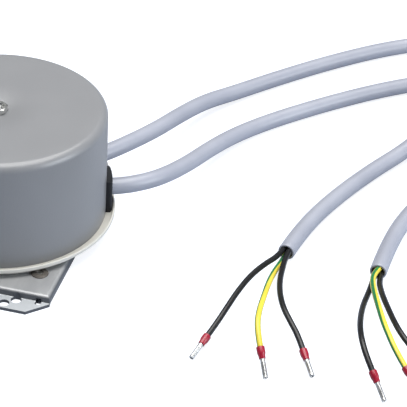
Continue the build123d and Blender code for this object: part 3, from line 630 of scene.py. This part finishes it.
# ------------------------------------------------------------------ gear base and output
# The base is moulded in ivory plastic: a floor, a rim that stands out round the can, a spigot that
# centres the can, and four posts.  The output turns in a bush of sintered bronze in its middle.
ivory_plastic = plain_material(
    "ivory_plastic", (0.68, 0.665, 0.61), (0.63, 0.61, 0.56), patches=70.0, grain=1600.0, smooth=0.36,
    rough=0.5, bump=0.00003)
sintered_bronze = plain_material(
    "sintered_bronze", (0.56, 0.36, 0.17), (0.42, 0.27, 0.13), patches=500.0, grain=4000.0,
    smooth=0.35, rough=0.6, bump=0.00005, metallic=1.0)
machined_steel = plain_material(
    "machined_steel", (0.62, 0.62, 0.63), (0.50, 0.50, 0.52), patches=150.0, grain=3000.0,
    smooth=0.2, rough=0.36, bump=0.00002, stretch=(1, 1, 6), metallic=1.0)
acetal = plain_material(
    "acetal", (0.80, 0.78, 0.70), (0.74, 0.72, 0.64), patches=90.0, grain=1800.0, smooth=0.3,
    rough=0.42, bump=0.00002)
dress(ivory_plastic, "gear_base")
dress(sintered_bronze, "output_bush", "lower_bearing", "upper_bearing")
dress(machined_steel, "output_hub", "output_circlip", "output_gear", "second_pinion", "first_pinion",
      "motor_pinion", "idler_pin_a", "idler_pin_b", "rotor_shaft")
dress(acetal, "first_wheel", "second_wheel")


# ------------------------------------------------------------------ rotor and stator
# The rotor is a ring of dark ferrite on a moulded hub.  Each coil unit is a pair of pressed steel
# pole pieces round a bobbin of enamelled copper wire.
ferrite = plain_material(
    "ferrite", (0.07, 0.07, 0.075), (0.045, 0.045, 0.05), patches=200.0, grain=3000.0, smooth=0.4,
    rough=0.6, bump=0.00004)
black_moulding = plain_material(
    "black_moulding", (0.035, 0.035, 0.037), (0.025, 0.025, 0.027), patches=90.0, grain=1800.0,
    smooth=0.35, rough=0.5, bump=0.00002)
pole_steel = plain_material(
    "pole_steel", (0.52, 0.52, 0.53), (0.40, 0.40, 0.42), patches=130.0, grain=2000.0, smooth=0.3,
    rough=0.45, bump=0.00003, metallic=1.0)
white_moulding = plain_material(
    "white_moulding", (0.78, 0.78, 0.75), (0.72, 0.72, 0.69), patches=90.0, grain=1800.0, smooth=0.35,
    rough=0.5, bump=0.00002)
dress(ferrite, "rotor_magnet")
dress(black_moulding, "rotor_hub")
dress(pole_steel, "lower_pole_cup", "lower_pole_plate", "upper_pole_plate", "upper_pole_cup")
dress(white_moulding, "lower_bobbin", "upper_bobbin", "terminal_block")
dress(core_black, "inner_cores")


def wound_wire():
    """Enamelled copper in level turns: bands of height, one to each wire."""
    material = plain_material(
        "wound_wire", (0.62, 0.26, 0.12), (0.45, 0.17, 0.08), patches=300.0, grain=2500.0,
        smooth=0.22, rough=0.35, bump=0.00002, metallic=1.0)
    tree = material.node_tree
    place = tree.nodes.new("ShaderNodeTexCoord")
    bands = tree.nodes.new("ShaderNodeTexWave")
    bands.bands_direction = "Z"
    bands.inputs["Scale"].default_value = 500.0
    bands.inputs["Distortion"].default_value = 0.6
    tree.links.new(place.outputs["Object"], bands.inputs["Vector"])
    ridges = tree.nodes.new("ShaderNodeBump")
    ridges.inputs["Distance"].default_value = 0.0001
    tree.links.new(bands.outputs["Fac"], ridges.inputs["Height"])
    tree.links.new(tree.nodes["relief"].outputs["Normal"], ridges.inputs["Normal"])
    tree.links.new(ridges.outputs["Normal"], tree.nodes["Principled BSDF"].inputs["Normal"])
    return material


dress(wound_wire(), "lower_winding", "upper_winding")
plain_brass = plain_material(
    "plain_brass", (0.72, 0.53, 0.22), (0.60, 0.43, 0.17), patches=300.0, grain=2500.0, smooth=0.22,
    rough=0.4, bump=0.00002, metallic=1.0)
dress(plain_brass, "terminal_screws")


# ------------------------------------------------------------------ can
# The can is deep-drawn from sheet and sprayed with a satin grey lacquer.  Its top edge is round, the
# nut draws its middle down into a shallow dish, and two notches in its wall take the grommets.
can_low, can_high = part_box("can")
CAN_RADIUS = can_high.x
CAN_WALL = 1.2 * MM
CAN_CORNER = 3.8 * MM
DISH_RADIUS, DISH_DEPTH, NUT_SEAT = 19 * MM, 1.8 * MM, 5 * MM
STUD_HOLE = 2.7 * MM
EXIT_ANGLES = (20.0, 49.0)
NOTCH_HALF = 5.8
CAN_COUNTS = (9, 13, 9, 190)
NOTCH_TOP = can_low.z + 14.4 * MM

can_lacquer = plain_material(
    "can_lacquer", (0.226, 0.230, 0.241), (0.216, 0.220, 0.231), patches=25.0, grain=1300.0,
    smooth=0.38, rough=0.46, bump=0.00004, Coat_Weight=0.35, Coat_Roughness=0.2)


def dish(radius):
    """How far the top sinks: an arc that is level at DISH_RADIUS and DISH_DEPTH down at the seat."""
    span = DISH_RADIUS - NUT_SEAT
    bow = (span ** 2 + DISH_DEPTH ** 2) / (2 * DISH_DEPTH)
    inward = np.clip(DISH_RADIUS - np.maximum(radius, NUT_SEAT), 0, span)
    return bow - np.sqrt(bow ** 2 - inward ** 2)


def can_profile(radius, top, corner):
    """Side, round corner and top of one face of the can's wall, up from the notches' levels."""
    side = [(radius, z) for z in np.concatenate([
        np.linspace(can_low.z, NOTCH_TOP, 9), np.linspace(NOTCH_TOP, can_high.z - CAN_CORNER, 9)[1:]])]
    bend = arc((radius - corner, top - corner), corner, 0, 90, 14)[1:]
    rings = np.concatenate([np.linspace(radius - corner, DISH_RADIUS, 6)[1:],
                            np.linspace(DISH_RADIUS, NUT_SEAT, 24)[1:], [STUD_HOLE]])
    return side + bend + [(r, top - dish(r)) for r in rings]


def walled_piece(name, outside, inside, keep, material, crease):
    """A wall between two matching grids that close round, with a face at every open border."""
    rows, columns = outside.shape[:2]
    index = np.arange(rows * columns).reshape(rows, columns)
    index = np.concatenate([index, index[:, :1]], 1)
    cells = [index[:-1, :-1], index[:-1, 1:], index[1:, 1:], index[1:, :-1]]
    outer = np.stack([cell[keep] for cell in cells], -1)
    sides = np.concatenate([outer[:, [k, (k + 1) % 4]] for k in range(4)])
    _, where, times = np.unique(np.sort(sides, 1), axis=0, return_index=True, return_counts=True)
    border = sides[where[times == 1]]
    shift = rows * columns
    rims = np.stack([border[:, 1], border[:, 0], border[:, 0] + shift, border[:, 1] + shift], -1)
    quads = np.concatenate([outer, outer[:, ::-1] + shift, rims])
    used = np.unique(quads)
    renumber = np.zeros(2 * shift, int)
    renumber[used] = np.arange(len(used))
    points = np.concatenate([outside.reshape(-1, 3), inside.reshape(-1, 3)])[used]
    mesh = bpy.data.meshes.new(name)
    mesh.from_pydata(points, [], renumber[quads].tolist())
    mesh.materials.append(material)
    return finished_piece(name, mesh, crease, weld=False)


def can_piece():
    """The can's two faces as profiles turned about its axis, with the notches' cells left out."""
    stops = [angle + side * NOTCH_HALF for angle in EXIT_ANGLES for side in (-1, 1)]
    stops.append(stops[0] + 360)
    turns = np.concatenate([np.linspace(first, last, count)[:-1]
                            for first, last, count in zip(stops, stops[1:], CAN_COUNTS)])
    middles = turns + np.diff(turns, append=stops[-1]) / 2
    open_cells = np.zeros(len(turns), bool)
    for angle in EXIT_ANGLES:
        open_cells |= np.abs(middles - angle) < NOTCH_HALF
    turns = np.radians(turns)
    outer = np.array(can_profile(CAN_RADIUS, can_high.z, CAN_CORNER))
    inner = np.array(can_profile(CAN_RADIUS - CAN_WALL, can_high.z - CAN_WALL, CAN_CORNER - CAN_WALL))

    def face(profile):
        x, y = profile[:, :1] * np.cos(turns), profile[:, :1] * np.sin(turns)
        return np.stack([x, y, np.broadcast_to(profile[:, 1:], x.shape)], -1)

    low_cells = outer[:-1, 1] < NOTCH_TOP - 1e-6
    side_cells = outer[:-1, 0] > CAN_RADIUS - 1e-6
    keep = ~((low_cells & side_cells)[:, None] & open_cells[None, :])
    return walled_piece("lacquered_can", face(outer), face(inner), keep, can_lacquer,
                        crease=40.0)


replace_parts(can_piece(), "can")


# ------------------------------------------------------------------ nut and stud
# One thin zinc-plated hexagon nut sits in the dish and holds the can.  The stud it turns on is
# screwed into the motor's end shield.
NUT_ACROSS = 8.0 * MM
NUT_TURN = 28.0
NUT_BORE_BEVEL = 0.0004
NUT_SIDES = 96
THREAD_PITCH, THREAD_DEPTH = 0.8 * MM, 0.38 * MM
THREAD_RINGS_PER_PITCH, STUD_SIDES = 10, 48
nut_low, nut_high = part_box("can_nut")
stud_low, stud_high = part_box("can_stud")
STUD_RADIUS = stud_high.x


def nut_piece():
    """Hexagon nut: at each height the radius is the smaller of the hexagon's and the chamfer's."""
    corner = NUT_ACROSS / math.sqrt(3)
    face_radius = NUT_ACROSS / 2 - 0.0001
    ends = np.array([0, 0.04, 0.08, 0.14, 0.2, 0.26, 0.32, 0.38]) * MM
    heights = np.concatenate([nut_low.z + ends, (nut_high.z - ends)[::-1]])
    turn = np.linspace(0, 2 * math.pi, NUT_SIDES + 1)
    sixth = math.pi / 3
    hexagon = NUT_ACROSS / 2 / np.cos(turn % sixth - sixth / 2)
    hexagon = np.minimum(hexagon, corner - 0.00006)
    from_end = np.minimum(heights - nut_low.z, nut_high.z - heights)
    chamfer = face_radius + from_end * math.tan(math.radians(60))
    side = np.minimum(hexagon[None, :], chamfer[:, None])
    bore, wide = STUD_RADIUS, STUD_RADIUS + NUT_BORE_BEVEL
    inner = np.array([(wide, nut_high.z), (bore, nut_high.z - NUT_BORE_BEVEL),
                      (bore, nut_low.z + NUT_BORE_BEVEL), (wide, nut_low.z)])
    bore_rings = np.broadcast_to(inner[:, :1], (len(inner), NUT_SIDES + 1))
    radius = np.concatenate([side, bore_rings, side[:1]])
    height = np.concatenate([heights, inner[:, 1], heights[:1]])[:, None]
    angle = turn + math.radians(NUT_TURN)
    x, y = radius * np.cos(angle), radius * np.sin(angle)
    grid = np.stack([x, y, np.broadcast_to(height, radius.shape)], -1)
    piece = closed_piece("hexagon_nut", [grid], [zinc_screws], crease=25.0)
    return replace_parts(piece, "can_nut")


def stud_piece():
    """A thread: the radius falls by a rounded saw of (height / pitch - turn), and the end is conical."""
    rows = int((stud_high.z - stud_low.z) / THREAD_PITCH * THREAD_RINGS_PER_PITCH)
    height = np.linspace(stud_low.z, stud_high.z, rows)[:, None]
    turn = np.linspace(0, 2 * math.pi, STUD_SIDES + 1)[None, :]
    phase = (height / THREAD_PITCH - turn / (2 * math.pi)) % 1
    saw = np.clip(np.abs(2 * phase - 1) * 1.3 - 0.15, 0, 1)
    radius = STUD_RADIUS - 0.00002 - THREAD_DEPTH * saw
    cone = STUD_RADIUS - 0.0006 + (stud_high.z - height)
    radius = np.minimum(radius, cone)
    x, y = radius * np.cos(turn), radius * np.sin(turn)
    grid = np.stack([x, y, np.broadcast_to(height, radius.shape)], -1)
    caps = [np.broadcast_to((0, 0, z), (1, STUD_SIDES + 1, 3)) for z in (stud_low.z, stud_high.z)]
    grid = np.concatenate([caps[0], grid, caps[1]])
    piece = closed_piece("threaded_stud", [grid], [zinc_screws], crease=50.0)
    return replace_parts(piece, "can_stud")


nut_piece()
stud_piece()


# ------------------------------------------------------------------ grommets
# A block of black rubber is pushed into each notch of the can, round its cable.  Its outer lip
# stands proud of the can with a rounded edge, and its inner lip grips the wall from inside.
GROMMET_HALF = math.radians(8.0)
GROMMET_PROUD, GROMMET_LIP, GROMMET_EDGE = 2.7 * MM, 1.7 * MM, 1.2 * MM
grommet_low, grommet_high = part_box("grommets")
black_rubber = plain_material(
    "black_rubber", (0.016, 0.017, 0.021), (0.010, 0.011, 0.014), patches=120.0, grain=2200.0,
    smooth=0.45, rough=0.62, bump=0.00004, Specular_IOR_Level=0.3)


def rounded_steps(first, last, edge, middle):
    """Values from first to last, close together within edge of each end."""
    bend = edge * (1 - np.cos(np.linspace(0, math.pi / 2, 7)))
    level = np.linspace(first + edge, last - edge, middle)[1:-1]
    return np.concatenate([first + bend, level, (last - bend)[::-1]])


def grommet_grids(angle):
    """A block bent round the can: its face falls at the edges as a quarter circle of the distance."""
    half = GROMMET_HALF * CAN_RADIUS
    across = rounded_steps(-half, half, GROMMET_EDGE, 12)
    up = rounded_steps(grommet_low.z, grommet_high.z, GROMMET_EDGE, 12)
    from_side = np.minimum(across + half, half - across)
    from_end = np.minimum(up - grommet_low.z, grommet_high.z - up)

    def fall(distance):
        short = np.clip(1 - distance / GROMMET_EDGE, 0, 1)
        return GROMMET_EDGE * (1 - np.sqrt(1 - short ** 2))

    def bent(radius):
        turn = math.radians(angle) + across / CAN_RADIUS
        x, y = radius * np.cos(turn), radius * np.sin(turn)
        return np.stack([x, y, np.broadcast_to(up[:, None], x.shape)], -1)

    sink = np.maximum(fall(from_side)[None, :], fall(from_end)[:, None])
    level = np.zeros_like(sink)
    grids = []
    for front, back in ((CAN_RADIUS + GROMMET_PROUD - sink, CAN_RADIUS + level),
                        (CAN_RADIUS - CAN_WALL + level, CAN_RADIUS - CAN_WALL - GROMMET_LIP + level)):
        near, far = bent(front), bent(back)
        grids += [near, far]
        grids += [np.stack([near[k], far[k]]) for k in (0, -1)]
        grids += [np.stack([near[:, k], far[:, k]]) for k in (0, -1)]
    return grids


rubber_grommets = closed_piece(
    "rubber_grommets", [grid for angle in EXIT_ANGLES for grid in grommet_grids(angle)], [black_rubber],
    crease=35.0)
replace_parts(rubber_grommets, "grommets")


# ------------------------------------------------------------------ table and lights
# A plain pale table under soft lamps: a large one overhead, one low at the right and a dim room.
# The table also glows, to the camera alone, which keeps its shadows faint.  It doesn't glow under
# the bracket, where it is dark.
TABLE_TINT = (0.38, 0.42, 0.50, 1)
TABLE_GLOW = 0.8
TABLE_REACH = 3.0
DARK_MIDDLE, DARK_HALF = (0.0, -14 * MM), (41 * MM, 40 * MM)
ROOM_TINT, ROOM_STRENGTH = (0.85, 0.92, 1.0, 1), 0.14
table_mesh = bpy.data.meshes.new("table")
table_corners = [(x * TABLE_REACH, y * TABLE_REACH, 0) for x, y in ((-1, -1), (1, -1), (1, 1), (-1, 1))]
table_mesh.from_pydata(table_corners, [], [(0, 1, 2, 3)])
table = bpy.data.objects.new("table", table_mesh)
bpy.context.scene.collection.objects.link(table)


def table_material():
    """Pale paint that glows to the camera, except within DARK_HALF of DARK_MIDDLE each way."""
    material = bpy.data.materials.new("table_paint")
    material.use_nodes = True
    tree = material.node_tree
    shader = tree.nodes["Principled BSDF"]
    shader.inputs["Base Color"].default_value = TABLE_TINT
    shader.inputs["Roughness"].default_value = 0.8
    shader.inputs["Emission Color"].default_value = (1, 1, 1, 1)
    to_camera = tree.nodes.new("ShaderNodeLightPath").outputs["Is Camera Ray"]
    glow = math_node(tree, "MULTIPLY", to_camera, TABLE_GLOW)
    place = split_node(tree, tree.nodes.new("ShaderNodeTexCoord").outputs["Object"])
    within = [math_node(tree, "COMPARE", place[axis], middle, half)
              for axis, middle, half in zip("XY", DARK_MIDDLE, DARK_HALF)]
    beside = math_node(tree, "SUBTRACT", 1.0, math_node(tree, "MULTIPLY", *within))
    tree.links.new(math_node(tree, "MULTIPLY", glow, beside), shader.inputs["Emission Strength"])
    return material


table_mesh.materials.append(table_material())


def soft_lamp(name, place, target, size, power, tint):
    """A square lamp that faces the target."""
    data = bpy.data.lights.new(name, "AREA")
    data.shape = "SQUARE"
    data.size = size
    data.energy = power
    data.color = tint
    lamp = bpy.data.objects.new(name, data)
    lamp.location = place
    lamp.rotation_euler = (Vector(target) - Vector(place)).to_track_quat("-Z", "Y").to_euler()
    bpy.context.scene.collection.objects.link(lamp)


soft_lamp("overhead", place=(0.0, 0.15, 1.3), target=(0.05, 0.03, 0), size=1.4, power=33.0,
          tint=(1.0, 0.99, 0.97))
soft_lamp("right_hand", place=(1.34, -0.22, 0.4), target=(0.03, 0.0, 0.02), size=0.8, power=12.5,
          tint=(0.88, 0.94, 1.0))
room = bpy.data.worlds.new("room")
room.use_nodes = True
room_light = room.node_tree.nodes["Background"]
room_light.inputs["Color"].default_value = ROOM_TINT
room_light.inputs["Strength"].default_value = ROOM_STRENGTH
bpy.context.scene.world = room
bpy.context.scene.view_settings.view_transform = "Standard"
